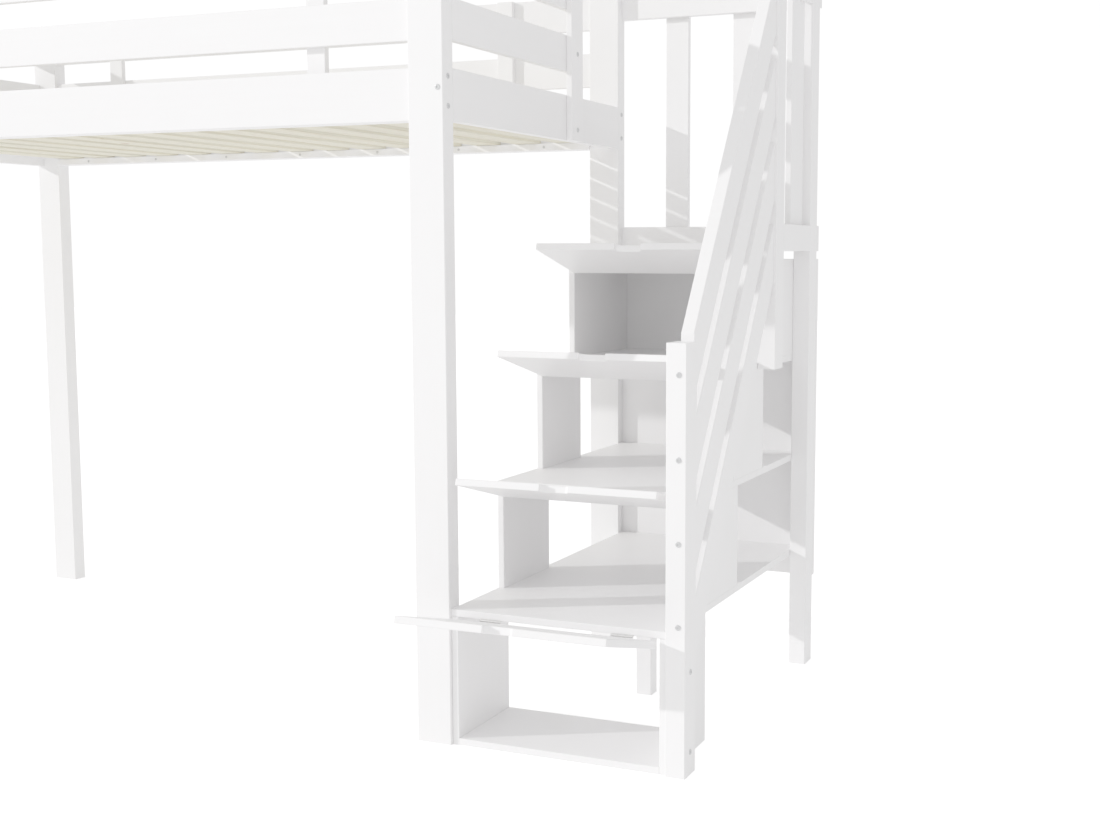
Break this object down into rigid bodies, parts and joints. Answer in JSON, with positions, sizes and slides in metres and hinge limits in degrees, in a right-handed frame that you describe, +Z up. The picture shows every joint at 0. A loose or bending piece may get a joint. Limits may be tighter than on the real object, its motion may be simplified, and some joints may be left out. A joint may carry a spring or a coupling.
{
  "type": "loft bed",
  "caption": "Loft bed of painted timber with a slatted base, guard boards and a storage staircase of stepped boxes with lift-up doors and a slanted board handrail.",
  "frame": {"origin": "middle of the front right bed post's foot, on the floor, where the staircase meets the bed", "axes": "+X along the bed towards the staircase, +Y from the front to the back, +Z up"},
  "size_m": [2.6162, 1.2825, 1.8],
  "materials": {
    "white_paint": "satin white paint over timber",
    "pine": "planed bare pine",
    "zinc_steel": "zinc plated",
    "hinge_steel": "nickel plated"
  },
  "bodies": {
    "bed": {"barrel_nuts": "zinc_steel", "bed_slats": "pine", "box_floor_1": "white_paint", "box_side_left_1": "white_paint", "box_side_left_2": "white_paint", "box_side_left_3": "white_paint", "box_side_left_4": "white_paint", "box_side_right_1": "white_paint", "box_side_right_2": "white_paint", "box_side_right_3": "white_paint", "box_side_right_4": "white_paint", "connector_bolts": "zinc_steel", "end_rail_left": "white_paint", "end_rail_right": "white_paint", "guard_front_lower": "white_paint", "guard_front_upper": "white_paint", "guard_left_lower": "white_paint", "guard_left_upper": "white_paint", "guard_rear_lower": "white_paint", "guard_rear_upper": "white_paint", "guard_right_lower": "white_paint", "guard_right_upper": "white_paint", "guard_upright_entry": "white_paint", "guard_uprights_front": "white_paint", "guard_uprights_rear": "white_paint", "handrail_board_1": "white_paint", "handrail_board_2": "white_paint", "handrail_board_3": "white_paint", "handrail_board_4": "white_paint", "hinge_board_leaves": "hinge_steel", "hinge_pins": "hinge_steel", "landing_board": "white_paint", "landing_post_front": "white_paint", "landing_post_rear": "white_paint", "landing_rails_rear": "white_paint", "landing_rails_right": "white_paint", "landing_upright_right": "white_paint", "landing_uprights_rear": "white_paint", "newel_post": "white_paint", "post_front_left": "white_paint", "post_front_right": "white_paint", "post_rear_left": "white_paint", "post_rear_right": "white_paint", "side_rail_front": "white_paint", "side_rail_rear": "white_paint", "slat_ledger_front": "white_paint", "slat_ledger_rear": "white_paint", "stair_back_panel": "white_paint", "stair_leg": "white_paint", "tread_1": "white_paint", "tread_2": "white_paint", "tread_3": "white_paint"},
    "door_1": {"door_1": "white_paint", "door_1_hinge_leaves": "hinge_steel"},
    "door_2": {"door_2": "white_paint", "door_2_hinge_leaves": "hinge_steel"},
    "door_3": {"door_3": "white_paint", "door_3_hinge_leaves": "hinge_steel"},
    "door_4": {"door_4": "white_paint", "door_4_hinge_leaves": "hinge_steel"}
  },
  "joints": [
    {"name": "door_1_hinge", "type": "hinge", "parent": "bed", "child": "door_1", "pos_m": [0.29675, -0.0178, 0.29085], "axis": [1, 0, 0], "range_deg": [0, 105]},
    {"name": "door_2_hinge", "type": "hinge", "parent": "bed", "child": "door_2", "pos_m": [0.29675, 0.2062, 0.54485], "axis": [1, 0, 0], "range_deg": [0, 105]},
    {"name": "door_3_hinge", "type": "hinge", "parent": "bed", "child": "door_3", "pos_m": [0.29675, 0.4172, 0.80885], "axis": [1, 0, 0], "range_deg": [0, 105]},
    {"name": "door_4_hinge", "type": "hinge", "parent": "bed", "child": "door_4", "pos_m": [0.29675, 0.6072, 1.05685], "axis": [1, 0, 0], "range_deg": [0, 105]}
  ]
}
